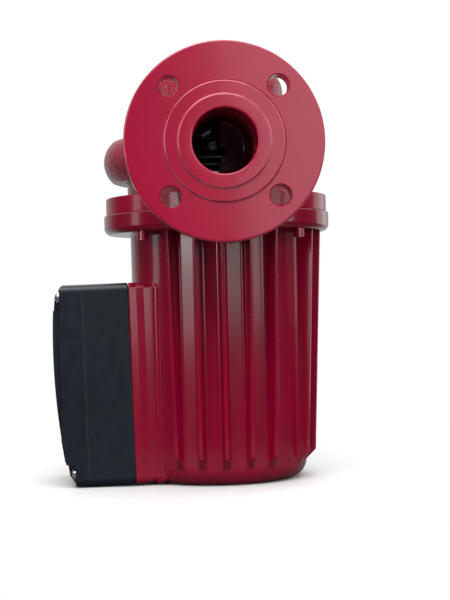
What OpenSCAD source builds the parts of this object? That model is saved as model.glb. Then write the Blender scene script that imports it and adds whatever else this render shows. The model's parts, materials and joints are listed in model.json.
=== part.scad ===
// Flanged wet-rotor circulator pump with a finned motor and a side terminal box.
// Millimetres. Origin at the centre of the outlet flange's sealing face,
// +Y into the pump along the pipe line, +Z up, away from the motor.

/* [Pipe flanges] */
// Distance between the outlet and inlet sealing faces
face_to_face = 250; // [246:1:256]
// Nominal bore of the pipe connections
bore_d = 42; // [38:0.5:43]
// Outside diameter of each flange
flange_d = 130; // [128:1:134]
// Bolt circle of each flange
flange_pcd = 100; // [98:0.5:102]
// Bolt hole diameter of each flange
flange_hole_d = 14; // [12:0.5:14]
// Thickness of each flange plate
flange_t = 16; // [14:0.5:18]

/* [Pump casing] */
// Radius of the casing's clamping flange
casing_flange_r = 79.6; // [79:0.1:81]
// Radius of the suction dome above the impeller
dome_r = 50; // [48:0.5:51]
// Top of the suction dome above the pipe line
dome_top = 64; // [63:0.5:65]
// Radius of the impeller
impeller_r = 55; // [50:0.5:56]
// Number of impeller vanes
vane_count = 7; // [5:1:8]

/* [Motor] */
// Radius of the motor barrel below its flange
barrel_r = 62.5; // [61.5:0.1:63.5]
// Depth of the motor's closed end below the pipe line
motor_end = 229.6; // [229.5:0.1:231]
// Radius to the fin tips at the top
fin_tip_r = 75.5; // [72:0.5:76]
// Angle between neighbouring fins
fin_pitch = 15; // [15:15:15]

/* [Terminal box] */
// Half width of the terminal box along the pipe line
box_half_w = 45; // [44:0.5:46]
// Half height of the terminal box along the motor
box_half_h = 70; // [69:0.5:70.5]
// Lean of the box against the motor axis, in degrees
box_lean = 1.03; // [0:0.01:1.5]
// Depth of the box base, from its seat to the cover joint
base_depth = 32; // [30:0.5:34]
// Height of the arched cover's crown above the box seat
cover_crown = 53.8; // [53:0.1:56]

/* [Hidden] */
$fn = 96;
e = 0.01;                      // overlap that keeps cuts clean
paint = [0.60, 0.09, 0.16];    // deep red enamel
plastic = [0.13, 0.16, 0.19];  // blue-black moulding
steel = [0.72, 0.73, 0.75];
brass = [0.80, 0.62, 0.30];
rubber = [0.08, 0.08, 0.08];
copper = [0.72, 0.40, 0.22];

// Pipe line and flange steps
axis_y = face_to_face / 2;     // motor axis, halfway between the flanges
bore_r = bore_d / 2;
face_r = 39;                   // raised face
seat_r = 30.5;                 // inner seat
step_h = 1.5;                  // height of each step
rim_chamfer = 1.2;
neck_r = bore_r + 8;
straight_l = 54;               // full round length of the outlet bore
throat_r = bore_r - 1;         // the throat that opens into the volute
cutwater_x = -1;               // right edge of the throat, at the cutwater
outlet_end = 72;

// Casing heights, measured from the pipe line
volute_z = -1.5;
volute_half = 15;
volute_x = -5;                 // the scroll is widest on the left
scroll_r = 56.4;
scroll_section_r = 19;
casing_neck_r = 63.8;
casing_flange_top = -27.7;
casing_face = -39.6;
spigot_r = 60;
spigot_top = -13;
chamber_r = 66;
chamber_top = 1.5;
shroud_recess_r = 58;
shroud_recess_top = 8;
eye_r = 26;
eye_top = 14;
dome_round = 16;
dome_wall = 8;
riser_r = 17.5;
riser_wall = 7;
elbow_swell = 0.5;             // the riser's elbows are a little fuller than its pipes
riser_y = face_to_face - 28;
riser_end = [182, 38];         // y and z where the riser meets the dome
plate_rim_r = 66;
plate_rim_t = 3.6;
seal_r = 58.7;                 // O-ring between the plate and the casing
seal_z = -28;

// Casing screws
screw_circle = 75.9;
screw_angles = [45 : 90 : 315];
screw_r = 2.5;
screw_head_r = 3.9;
screw_head_h = 6;
flange_under = -53.6;

// Motor
motor_face = -40;
motor_flange_r = 81.2;
flange_round = 5;
motor_inner_r = 57;
barrel_low_r = 61.4;
end_wall = 6;
end_round = 12;
fin_root_r = 58;
fin_low_tip_r = 68.9;
fin_low = -210;
fin_foot = -217.7;
fin_root_t = 4.4;
fin_tip_t = 1.8;
// Fin directions from the outlet side; gaps are left for the screws and the box
fin_angles = concat(
    [for (k = [-2 : 2]) k * fin_pitch],
    [for (k = [4 : 8]) k * fin_pitch],
    [for (k = [10 : 14]) k * fin_pitch]);

// Rotor and can
shaft_r = 5;
running = 0.05;                // radial clearance of each bush
shaft_top = 10;
shaft_low = -206;
core_r = 30;
core_top = -75;
core_low = -150;
end_ring_t = 6;
can_r = 31;
can_t = 0.6;
can_rim_t = 1.2;
can_end = -208;
can_neck_r = 10;
vent_r = 12.5;
vent_sink = 0.8;               // the vent plug's face lies this far inside the motor's end
vent_head_t = 3.7;
vent_seal_t = 2;
vent_seal_low = -motor_end + vent_sink + vent_head_t;
can_neck_low = vent_seal_low + vent_seal_t;
lower_bush = [-204, -192];
carrier_t = 6;
upper_bush_top = spigot_top - 0.5;
upper_bush_low = -30;
bush_r = 9;
thrust_gap = 0.4;
thrust_t = 6;
winding_r = [34, 54];
slot_count = 24;

// Terminal box, in its own frame: +X up the box, +Z away from the motor
seat_x = -63.45;               // centre of the box seat
seat_z = -158.25;
gasket_t = 1;
wall = 3;
corner_r = 5;
rim_w = [48.3, 50.4];          // height of the side rim at its top and where it meets the arch
rim_u = [52.5, -39];
arch_u = 20;                   // the arch's crown
arch_r = 475;
panel_half_w = 41;
notch_u = [52.5, -54.5];
notch_half_w = 31;
notch_w = [48, 41.5];
cover_screw_v = 38.5;
cover_screw_u = [61.5, -61.5];
knob_u = 22;
knob_r = 13;
knob_recess = 7;
knob_gap = 0.5;
gland_u = -38;
gland_w = 17;
plug_u = 10;
thread_r = 10;                 // M20 entries
cover_low = base_depth + 0.4;  // the cover sits on a 0.4 mm gasket
lead_u = -24;                  // passage for the motor leads
lead_r = 9;
seat_screws = [50, 30];        // the base's screws, up and across the seat
seat_screw_r = 2;
side_rim = [                   // outline of the cover's level rim
    [-box_half_h, cover_low], [box_half_h, cover_low], [box_half_h, 45.6], [67.5, rim_w[0] - 0.3],
    [rim_u[0], rim_w[0]], [rim_u[1], rim_w[1]], [-51.5, 48.4], [-55.5, 47.1],
    [-63.5, 45.9], [-box_half_h, 41.3]];
block_u = -46;                 // terminal block
block_half = [10, 26];
block_h = 14;
block_pitch = 10;
floor_w = gasket_t + wall;     // inside face of the box's floor
cap_r = 13;                    // run capacitor, lying along the box
cap_l = 60;
cap_at = [-16, 24, floor_w + 15];
clip_u = 10;
clip_w = 10;
switch_half = 9;
switch_w = [24, 40];
spindle_r = 3;
spindle_low = 30;
earth_at = [-26, -28, floor_w];
gland_hex = 24;
plug_head_r = 12;
plug_reach = 2;                // how far the blanking plug stands inside the wall

// Frames
module on_motor_axis() { translate([0, axis_y, 0]) children(); }
module on_box_seat() { translate([seat_x, axis_y, seat_z]) rotate([0, -90 - box_lean, 0]) children(); }
module on_far_wall(u) {
    on_box_seat() translate([u, box_half_w, gland_w]) rotate([-90, 0, 0]) children();
}
module along_y(y, l, r) { translate([0, y, 0]) rotate([-90, 0, 0]) cylinder(h = l, r = r); }
module at_angle(a) { rotate([0, 0, a - 90]) children(); }

// Shapes
module ring(r_out, r_in, low, high) {
    translate([0, 0, low]) difference() {
        cylinder(h = high - low, r = r_out);
        translate([0, 0, -1]) cylinder(h = high - low + 2, r = r_in);
    }
}
module disc(r, low, high) { translate([0, 0, low]) cylinder(h = high - low, r = r); }
module hex(across, h) { cylinder(h = h, r = across / sqrt(3), $fn = 6); }
module rounded_slab(half_u, half_v, r, low, high) {
    translate([0, 0, low]) linear_extrude(high - low) union() {
        square([2 * half_u - 2 * r, 2 * half_v], center = true);
        square([2 * half_u, 2 * half_v - 2 * r], center = true);
        for (u = [-1, 1], v = [-1, 1]) translate([u * (half_u - r), v * (half_v - r)]) circle(r);
    }
}
// A slice of the box's side view, extruded to both sides of its middle
module side_profile(points, half_v) {
    rotate([90, 0, 0]) translate([0, 0, -half_v]) linear_extrude(2 * half_v) polygon(points);
}

// Pump casing
module pipe_flange() {
    rotate([-90, 0, 0]) rotate_extrude() polygon([
        [0, 0], [seat_r, 0], [seat_r, step_h], [face_r, step_h], [face_r, 2 * step_h],
        [flange_d / 2 - rim_chamfer, 2 * step_h], [flange_d / 2, 2 * step_h + rim_chamfer],
        [flange_d / 2, 2 * step_h + flange_t - rim_chamfer],
        [flange_d / 2 - rim_chamfer, 2 * step_h + flange_t],
        [neck_r + 4, 2 * step_h + flange_t], [neck_r, 2 * step_h + flange_t + 5], [0, 30]]);
}
module flange_holes() {
    for (a = [45 : 90 : 315]) rotate([0, a, 0])
        translate([flange_pcd / 2, 0, 0]) along_y(-1, 2 * step_h + flange_t + 2, flange_hole_d / 2);
}
module scroll_body() {
    translate([volute_x, 0, volute_z]) intersection() {
        rotate_extrude() union() {
            translate([0, -volute_half]) square([scroll_r, 2 * volute_half]);
            translate([scroll_r, 0]) circle(scroll_section_r);
        }
        cylinder(h = 2 * volute_half, r = 90, center = true);
    }
}
module dome_body() {
    rotate_extrude() union() {
        square([dome_r - dome_round, dome_top]);
        square([dome_r, dome_top - dome_round]);
        translate([dome_r - dome_round, dome_top - dome_round]) circle(dome_round);
        polygon([[0, 0], [dome_r + 9, 0], [dome_r + 9, 13], [dome_r + 3, 16], [dome_r, 22], [0, 22]]);
    }
}
module riser(r, flange_len) {
    rise = riser_end - [riser_y, 0];
    translate([0, riser_y, 0]) sphere(r + elbow_swell);
    along_y(riser_y, flange_len, r);
    translate([0, riser_y, 0]) rotate([atan2(-rise[0], rise[1]), 0, 0]) cylinder(h = norm(rise), r = r);
    translate([0, riser_end[0], riser_end[1]]) sphere(r + elbow_swell);
    translate([0, 0, riser_end[1]]) along_y(axis_y + 10, riser_end[0] - axis_y - 10, r);
}
module pump_housing() {
    color(paint) difference() {
        union() {
            pipe_flange();
            translate([0, face_to_face, 0]) mirror([0, 1, 0]) pipe_flange();
            along_y(15, axis_y - 60, neck_r);
            riser(riser_r + riser_wall, 15);
            on_motor_axis() {
                scroll_body();
                dome_body();
                disc(casing_neck_r, casing_face, volute_z);
                disc(casing_flange_r, casing_face, casing_flange_top - 1);
                disc(casing_flange_r - 1, casing_face, casing_flange_top);
            }
        }
        flange_holes();
        translate([0, face_to_face, 0]) mirror([0, 1, 0]) flange_holes();
        along_y(-1, straight_l + 1, bore_r);
        intersection() {
            along_y(straight_l - 1, outlet_end - straight_l + 1, throat_r);
            translate([cutwater_x - 100, 0, -50]) cube([100, axis_y, 100]);
        }
        riser(riser_r, 5);
        along_y(riser_y, 40, bore_r);
        on_motor_axis() {
            translate([volute_x, 0, 0]) disc(chamber_r, spigot_top - 2, chamber_top);
            disc(shroud_recess_r, spigot_top, shroud_recess_top);
            disc(eye_r, 0, eye_top + 1);
            disc(dome_r - dome_wall, eye_top, dome_top - dome_wall);
            disc(spigot_r, casing_face - 1, spigot_top);
            disc(plate_rim_r, casing_face - 1, casing_face + plate_rim_t);
            casing_screw_holes(screw_r, casing_face - 1, casing_flange_top + 1);
        }
    }
}
module wear_ring() { color(steel) on_motor_axis() ring(eye_r, 22.9, 5, 13); }

// Impeller: two shrouds, an inlet neck, a hub and backward-curved vanes
module impeller_vane() {
    vane_r = 38;
    intersection() {
        translate([20, -26, 0]) ring(vane_r, vane_r - 1.8, -7.8, -3.2);
        ring(impeller_r - 0.5, 20, -7.8, -3.2);
        translate([0, -2, -10]) cube([60, 60, 10]);
    }
}
module impeller() {
    color(steel) on_motor_axis() difference() {
        union() {
            disc(impeller_r, -9, -7.4);
            disc(shaft_r + 6, -12, 1);
            rotate_extrude() polygon([
                [21, 10], [22.5, 10], [22.5, -0.6], [impeller_r, -2.6], [impeller_r, -4], [21, -2]]);
            for (k = [1 : vane_count]) rotate([0, 0, k * 360 / vane_count]) impeller_vane();
        }
        disc(shaft_r, -20, 20);
    }
}
module impeller_nut() {
    color(brass) on_motor_axis() translate([0, 0, 1]) difference() {
        hex(16, 7);
        disc(shaft_r, -1, 9);
    }
}

// Wall between the pump chamber and the motor
module bearing_plate() {
    color(steel) on_motor_axis() difference() {
        union() {
            disc(spigot_r - 0.2, casing_face, upper_bush_top);
            disc(plate_rim_r - 0.2, casing_face, casing_face + plate_rim_t);
        }
        difference() {
            disc(54.5, casing_face - 1, -19);
            disc(bush_r + 7, upper_bush_low, 0);
        }
        disc(bush_r, casing_face, 0);
        ring(spigot_r + 1, seal_r - 1.3, seal_z - 1.5, seal_z + 1.5);
        for (a = [0 : 90 : 270]) rotate([0, 0, a]) translate([35, 0, 0]) disc(2.5, -25, 0);
    }
}
module spigot_seal() {
    color(rubber) on_motor_axis() translate([0, 0, seal_z]) rotate_extrude() translate([seal_r, 0])
        circle(1.25);
}
module casing_screw_holes(r, low, high) {
    for (a = screw_angles) at_angle(a) translate([screw_circle, 0, 0]) disc(r, low, high);
}
module housing_gasket() {
    color(rubber) on_motor_axis() difference() {
        ring(casing_flange_r - 0.6, spigot_r + 0.5, motor_face, casing_face);
        casing_screw_holes(screw_r + 0.3, motor_face - 1, casing_face + 1);
    }
}
module casing_screws() {
    color(paint) on_motor_axis() for (a = screw_angles) at_angle(a)
        translate([screw_circle, 0, 0]) difference() {
            union() {
                disc(screw_head_r, flange_under - screw_head_h, flange_under);
                disc(screw_r, flange_under - e, casing_flange_top - 1);
            }
            translate([0, 0, flange_under - screw_head_h - 1]) hex(4, 4);
        }
}

// Rotor
module shaft() {
    color(steel) on_motor_axis() {
        disc(shaft_r, shaft_low, shaft_top);
        translate([0, 0, shaft_top - e]) cylinder(h = 1, r1 = shaft_r, r2 = shaft_r - 1);
    }
}
module rotor_core() { color(steel) on_motor_axis() ring(core_r, shaft_r, core_low, core_top); }
module rotor_sleeve() {
    color(steel) on_motor_axis() ring(core_r + 0.4, core_r, core_low - end_ring_t, core_top + end_ring_t);
}
module rotor_end_rings() {
    color(copper) on_motor_axis() {
        ring(core_r, core_r / 2, core_top, core_top + end_ring_t);
        ring(core_r, core_r / 2, core_low - end_ring_t, core_low);
    }
}
module thrust_bearing() {
    color("dimgray") on_motor_axis()
        ring(13, shaft_r, upper_bush_low - thrust_gap - thrust_t, upper_bush_low - thrust_gap);
}
module thrust_retainer() {
    top = upper_bush_low - thrust_gap - thrust_t;
    color(rubber) on_motor_axis() ring(14, shaft_r, top - 6, top);
}
module upper_bearing() {
    color("dimgray") on_motor_axis() ring(bush_r, shaft_r + running, upper_bush_low, upper_bush_top);
}
module lower_bearing() {
    color("dimgray") on_motor_axis() ring(bush_r, shaft_r + running, lower_bush[0], lower_bush[1]);
}
module bearing_carrier() {
    color(steel) on_motor_axis() {
        ring(can_r, bush_r, lower_bush[0], lower_bush[0] + carrier_t);
        ring(bush_r + 3, bush_r, lower_bush[0] + carrier_t - e, lower_bush[1]);
    }
}
// Thin stainless can that keeps the stator dry
module rotor_can() {
    low_rim = motor_face - can_rim_t;
    color(steel) on_motor_axis() rotate_extrude() polygon([
        [can_r, motor_face], [plate_rim_r, motor_face], [plate_rim_r, low_rim],
        [can_r + can_t, low_rim], [can_r + can_t, can_end], [can_neck_r + can_t, can_end],
        [can_neck_r + can_t, can_neck_low], [can_neck_r, can_neck_low],
        [can_neck_r, can_end + can_t], [can_r, can_end + can_t]]);
}

// Stator
module stator_slots(w, r_in, r_out, low, high) {
    for (k = [1 : slot_count]) rotate([0, 0, k * 360 / slot_count])
        translate([r_in, -w / 2, low]) cube([r_out - r_in, w, high - low]);
}
module stator_core() {
    color(steel) on_motor_axis() difference() {
        ring(motor_inner_r, can_r + can_t + 0.1, core_low, core_top);
        stator_slots(4, 35, 46, core_low - 1, core_top + 1);
    }
}
module end_turn(low, high) {
    mid = (winding_r[0] + winding_r[1]) / 2;
    half = (winding_r[1] - winding_r[0]) / 2;
    round = 4;
    rotate_extrude() translate([mid, (low + high) / 2]) union() {
        square([2 * half - 2 * round, high - low], center = true);
        square([2 * half, high - low - 2 * round], center = true);
        for (x = [-1, 1], z = [-1, 1])
            translate([x * (half - round), z * ((high - low) / 2 - round)]) circle(round);
    }
}
module stator_winding() {
    color(copper) on_motor_axis() {
        end_turn(core_top, core_top + 19);
        end_turn(core_low - 19, core_low);
        stator_slots(3.4, 36, 45, core_low - 2, core_top + 2);
    }
}
// Leads from the winding, through the housing's passage, into the box
module motor_leads() {
    color("ivory") on_box_seat() for (k = [-1.5 : 1 : 1.5])
        translate([lead_u, 4 * k, -14]) cylinder(h = 30, r = 1.4);
}

// Motor casting
module fin() {
    intersection() {
        translate([0, 0, fin_foot]) linear_extrude(-fin_foot) polygon([
            [fin_root_r, -fin_root_t / 2], [fin_tip_r + 1, -fin_tip_t / 2],
            [fin_tip_r + 1, fin_tip_t / 2], [fin_root_r, fin_root_t / 2]]);
        rotate([90, 0, 0]) linear_extrude(10, center = true) polygon([
            [fin_root_r, flange_under + 4], [fin_tip_r + 0.2, flange_under + 4],
            [fin_low_tip_r, fin_low], [barrel_low_r + 0.4, fin_foot], [fin_root_r, fin_foot]]);
    }
}
module barrel_body() {
    floor_z = -motor_end;
    rotate_extrude() union() {
        polygon([
            [0, flange_under + 2], [barrel_r, flange_under + 2], [barrel_low_r, floor_z + end_round],
            [barrel_low_r - end_round, floor_z], [0, floor_z]]);
        translate([barrel_low_r - end_round, floor_z + end_round]) circle(end_round);
    }
}
module motor_flange() {
    rotate_extrude() union() {
        translate([0, flange_under]) square([motor_flange_r - flange_round, motor_face - flange_under]);
        translate([0, flange_under + flange_round])
            square([motor_flange_r, motor_face - flange_under - flange_round]);
        translate([motor_flange_r - flange_round, flange_under + flange_round]) circle(flange_round);
    }
}
module box_boss() {
    rounded_slab(box_half_h, box_half_w - 0.5, 4, -6, 0);
    rounded_slab(box_half_h - 0.5, box_half_w - 2, 4, -13, -5);
    rounded_slab(box_half_h - 1, box_half_w - 1, 4, -26, -12);
}
module seat_screw_holes(r, low, high) {
    for (u = [-1, 1] * seat_screws[0], v = [-1, 1] * seat_screws[1]) translate([u, v, 0])
        disc(r, low, high);
}
module motor_housing() {
    color(paint) difference() {
        union() {
            on_motor_axis() {
                motor_flange();
                barrel_body();
                for (a = fin_angles) at_angle(a) fin();
            }
            difference() {
                on_box_seat() box_boss();
                on_motor_axis() disc(fin_root_r + 1, -250, 0);
            }
        }
        on_motor_axis() {
            disc(motor_inner_r, end_wall - motor_end, 0);
            disc(plate_rim_r, motor_face - can_rim_t, 0);
            disc(vent_r + 0.5, -motor_end - 1, 0);
            casing_screw_holes(screw_r + 0.3, flange_under - 10, 0);
        }
        on_box_seat() translate([lead_u, 0, -40]) cylinder(h = 41, r = lead_r);
        on_box_seat() seat_screw_holes(seat_screw_r, -9, 1);
    }
}
// Slotted plug that bleeds the rotor space
module vent_plug() {
    color(brass) on_motor_axis() difference() {
        union() {
            disc(vent_r, -motor_end + vent_sink, vent_seal_low);
            disc(can_neck_r, vent_seal_low - e, can_end - 1);
        }
        translate([-15, -1.25, -motor_end]) cube([30, 2.5, 2.6]);
    }
}
module vent_seal() {
    color(rubber) on_motor_axis() ring(vent_r, can_neck_r, vent_seal_low, can_neck_low);
}

// Terminal box
module box_gasket() {
    color(rubber) on_box_seat() difference() {
        rounded_slab(box_half_h - 1.5, box_half_w - 1.5, 4, 0, gasket_t);
        translate([lead_u, 0, -1]) cylinder(h = 5, r = lead_r);
        seat_screw_holes(seat_screw_r + 0.2, -1, 4);
    }
}
module cover_posts(r, low, high) {
    for (u = cover_screw_u, v = [-1, 1]) translate([u, v * cover_screw_v, low])
        cylinder(h = high - low, r = r);
}
module terminal_box() {
    color(plastic) difference() {
        on_box_seat() difference() {
            union() {
                difference() {
                    rounded_slab(box_half_h, box_half_w, corner_r, gasket_t, base_depth);
                    rounded_slab(box_half_h - wall, box_half_w - wall, 3, floor_w, base_depth + 1);
                }
                intersection() {
                    cover_posts(6, gasket_t, base_depth - 1);
                    rounded_slab(box_half_h, box_half_w, corner_r, gasket_t, base_depth);
                }
            }
            cover_posts(1.75, 10, base_depth + 1);
            translate([lead_u, 0, 0]) cylinder(h = 10, r = lead_r);
            seat_screw_holes(seat_screw_r + 0.2, 0, 10);
        }
        for (u = [gland_u, plug_u]) on_far_wall(u) disc(thread_r, -wall - 1, 1);
    }
}
module box_screws() {
    color(steel) on_box_seat() for (u = [-1, 1] * seat_screws[0], v = [-1, 1] * seat_screws[1])
        translate([u, v, 0]) difference() {
        union() {
            translate([0, 0, -8.5]) cylinder(h = 14, r = seat_screw_r);
            translate([0, 0, floor_w]) cylinder(h = 3, r = 4);
        }
        translate([-5, -0.6, floor_w + 1.6]) cube([10, 1.2, 2]);
    }
}
module cover_gasket() {
    color(rubber) on_box_seat() difference() {
        rounded_slab(box_half_h, box_half_w, corner_r, base_depth, cover_low);
        rounded_slab(box_half_h - wall, box_half_w - wall, 3, base_depth - 1, cover_low + 1);
        cover_posts(1.75, base_depth - 1, cover_low + 1);
    }
}
// Outer form of the cover: a level rim with an arched panel proud of it
module cover_form() {
    intersection() {
        union() {
            side_profile(side_rim, box_half_w);
            side_profile([
                [-box_half_h, cover_low], [box_half_h, cover_low], [box_half_h, 45.6], [67.5, 48.2],
                [63, 51.6], [rim_u[0], 52.8], [rim_u[0], 60], [-55.5, 60], [-55.5, 47.1],
                [-63.5, 45.9], [-box_half_h, 41.3]], panel_half_w);
        }
        rounded_slab(box_half_h, box_half_w, corner_r, cover_low, 60);
        translate([arch_u, 0, cover_crown - arch_r]) rotate([90, 0, 0])
            cylinder(h = 120, r = arch_r, center = true, $fn = 720);
    }
}
module corner_notches() {
    cut = [30, 30, 20];
    for (v = [notch_half_w, -notch_half_w - cut[1]]) {
        translate([notch_u[0], v, notch_w[0]]) cube(cut);
        translate([notch_u[1] - cut[0], v, notch_w[1]]) cube(cut);
    }
}
module box_cover() {
    knob_floor = cover_crown - knob_recess;
    color(plastic) on_box_seat() difference() {
        cover_form();
        difference() {
            rounded_slab(box_half_h - wall, box_half_w - wall, 3, cover_low - 1, notch_w[1] - wall);
            cover_posts(6, 0, 60);
        }
        difference() {
            rounded_slab(notch_u[0] - wall, box_half_w - 2 * wall, 3, cover_low - 1, notch_w[0] - wall);
            translate([knob_u, 0, 0]) cylinder(h = 60, r = knob_r + 4);
        }
        corner_notches();
        cover_posts(2.2, 0, 60);
        translate([knob_u, 0, knob_floor]) cylinder(h = 20, r = knob_r + knob_gap);
        translate([knob_u, 0, 0]) cylinder(h = 60, r = 5);
        translate([knob_u, 0, cover_low - 1]) cylinder(h = knob_floor - cover_low - 2, r = knob_r + 1);
    }
}
module cover_screws() {
    color(steel) on_box_seat() for (i = [0, 1], v = [-1, 1])
        translate([cover_screw_u[i], v * cover_screw_v, notch_w[i]]) difference() {
            union() {
                intersection() {
                    cylinder(h = 3, r = 3.8);
                    translate([0, 0, -2.2]) sphere(5.2);
                }
                translate([0, 0, -28]) cylinder(h = 28 + e, r = 1.75);
            }
            for (a = [0, 90]) rotate([0, 0, a]) translate([-2.4, -0.5, 1.6]) cube([4.8, 1, 3]);
        }
}

// Electrical parts inside the box
module terminal_block() {
    color("gainsboro") on_box_seat() difference() {
        translate([block_u - block_half[0], -block_half[1], floor_w])
            cube([2 * block_half[0], 2 * block_half[1], block_h]);
        for (k = [-2 : 2]) translate([block_u, k * block_pitch, 12]) {
            cylinder(h = 10, r = 2.6);
            translate([0, 0, -3.5]) rotate([0, 90, 0]) cylinder(h = 30, r = 2, center = true);
        }
    }
}
module terminal_screws() {
    color(brass) on_box_seat() for (k = [-2 : 2]) translate([block_u, k * block_pitch, 12])
        difference() {
            cylinder(h = 4, r = 2.6);
            translate([-3, -0.4, 2.8]) cube([6, 0.8, 2]);
        }
}
module capacitor() {
    color("whitesmoke") on_box_seat() translate(cap_at) rotate([0, 90, 0]) {
        cylinder(h = cap_l, r = cap_r);
        translate([0, 0, cap_l - e]) cylinder(h = 3, r = cap_r - 4);
        for (x = [-4, 4]) translate([x, 0, cap_l + 2]) cylinder(h = 5, r = 1);
    }
}
module capacitor_clip() {
    color(steel) on_box_seat() difference() {
        union() {
            translate([clip_u, cap_at[1], cap_at[2]]) rotate([0, 90, 0])
                cylinder(h = clip_w, r = cap_r + 1);
            translate([clip_u, cap_at[1] - cap_r - 1, floor_w]) cube([clip_w, 2 * cap_r + 2, 8]);
        }
        translate(cap_at) rotate([0, 90, 0]) cylinder(h = cap_l, r = cap_r + running);
        translate([clip_u - 1, cap_at[1] - 8.5, cap_at[2]]) cube([clip_w + 2, 17, 20]);
    }
}
module earth_screw() {
    color(brass) on_box_seat() translate(earth_at) difference() {
        union() {
            cylinder(h = 1.2, r = 5);
            cylinder(h = 4.4, r = 3.6);
        }
        translate([-4, -0.6, 3]) cube([8, 1.2, 3]);
    }
}
module speed_switch() {
    color("dimgray") on_box_seat() difference() {
        union() {
            translate([knob_u - switch_half, -switch_half, switch_w[0]])
                cube([2 * switch_half, 2 * switch_half, switch_w[1] - switch_w[0]]);
            translate([knob_u - 3, -switch_half, floor_w])
                cube([6, 2 * switch_half, switch_w[0] - floor_w + 1]);
        }
        translate([knob_u, 0, spindle_low]) cylinder(h = 20, r = spindle_r + running);
    }
}
module speed_knob() {
    low = cover_crown - knob_recess + 0.6;
    color("silver") on_box_seat() translate([knob_u, 0, 0]) {
        difference() {
            translate([0, 0, low]) cylinder(h = 4.6, r = knob_r);
            for (k = [0 : 11]) rotate([0, 0, k * 30])
                translate([knob_r + 0.9, 0, low - 1]) cylinder(h = 10, r = 1.8);
            for (s = [-1, 1]) translate([-7.5, s * 6 - 3, low + 2.2]) cube([15, 6, 10]);
        }
        translate([0, 0, spindle_low + 1]) cylinder(h = low - spindle_low - 1 + e, r = spindle_r);
    }
}

// Cable entry on the far wall of the box, and the spare entry's plug
module gland_body() {
    color(rubber) on_far_wall(gland_u) difference() {
        union() {
            disc(thread_r, -wall - 6, e);
            hex(gland_hex, 6);
            disc(thread_r, 6 - e, 16);
        }
        disc(6.5, -20, 30);
    }
}
module gland_seal() { color("dimgray") on_far_wall(gland_u) ring(6.5, 4, 2, 16); }
module gland_nut() {
    color(rubber) on_far_wall(gland_u) difference() {
        union() {
            translate([0, 0, 8]) hex(gland_hex, 9);
            translate([0, 0, 17 - e]) cylinder(h = 4, r1 = 11.5, r2 = 8);
        }
        disc(thread_r, 7, 16);
        disc(4.5, 0, 30);
    }
}
module blanking_plug() {
    color(rubber) on_far_wall(plug_u) difference() {
        union() {
            disc(thread_r, -wall - plug_reach, e);
            disc(plug_head_r, 0, 3);
        }
        translate([-8, -1, 1.6]) cube([16, 2, 3]);
    }
}

pump_housing();
wear_ring();
impeller();
impeller_nut();
bearing_plate();
spigot_seal();
housing_gasket();
casing_screws();
shaft();
rotor_core();
rotor_sleeve();
rotor_end_rings();
thrust_bearing();
thrust_retainer();
upper_bearing();
lower_bearing();
bearing_carrier();
rotor_can();
stator_core();
stator_winding();
motor_leads();
motor_housing();
vent_plug();
vent_seal();
box_gasket();
terminal_box();
box_screws();
cover_gasket();
box_cover();
cover_screws();
terminal_block();
terminal_screws();
capacitor();
capacitor_clip();
earth_screw();
speed_switch();
speed_knob();
gland_body();
gland_seal();
gland_nut();
blanking_plug();
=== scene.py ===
"""Looks of the circulator pump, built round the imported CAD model. Metres, in the CAD model's frame."""
import json
import math

import bpy
import bmesh
import numpy as np
from mathutils import Matrix, Vector


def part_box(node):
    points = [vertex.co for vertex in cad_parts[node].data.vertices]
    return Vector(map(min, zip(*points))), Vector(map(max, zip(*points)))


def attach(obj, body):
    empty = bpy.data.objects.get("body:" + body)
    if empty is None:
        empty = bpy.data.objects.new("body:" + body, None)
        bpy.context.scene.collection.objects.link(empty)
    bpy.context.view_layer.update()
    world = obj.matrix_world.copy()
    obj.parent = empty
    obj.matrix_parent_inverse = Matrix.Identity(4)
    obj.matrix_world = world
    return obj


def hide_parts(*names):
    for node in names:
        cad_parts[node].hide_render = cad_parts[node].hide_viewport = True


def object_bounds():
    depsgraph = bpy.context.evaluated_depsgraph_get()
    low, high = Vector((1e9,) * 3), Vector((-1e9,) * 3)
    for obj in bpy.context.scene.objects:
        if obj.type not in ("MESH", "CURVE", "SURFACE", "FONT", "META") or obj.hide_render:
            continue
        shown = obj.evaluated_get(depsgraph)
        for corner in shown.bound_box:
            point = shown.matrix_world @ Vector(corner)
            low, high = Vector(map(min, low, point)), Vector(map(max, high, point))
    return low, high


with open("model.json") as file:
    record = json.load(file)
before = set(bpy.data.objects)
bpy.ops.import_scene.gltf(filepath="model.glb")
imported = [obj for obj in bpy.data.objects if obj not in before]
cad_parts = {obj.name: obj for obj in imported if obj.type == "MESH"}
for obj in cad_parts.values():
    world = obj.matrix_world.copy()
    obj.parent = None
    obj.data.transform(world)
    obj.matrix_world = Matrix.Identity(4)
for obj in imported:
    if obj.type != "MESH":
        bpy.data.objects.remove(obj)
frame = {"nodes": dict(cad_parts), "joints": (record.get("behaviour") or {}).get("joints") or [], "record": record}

MM = 0.001
cad_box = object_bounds()
scene = bpy.context.scene

# ---------------------------------------------------------------- places, and the sizes of the red castings
shaft_low, shaft_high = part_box("shaft")
AXIS = Vector(((shaft_low.x + shaft_high.x) / 2, (shaft_low.y + shaft_high.y) / 2, 0))
FLOOR_Z = cad_box[0].z
SCREW_CIRCLE = 75.9 * MM                   # casing screws

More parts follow.
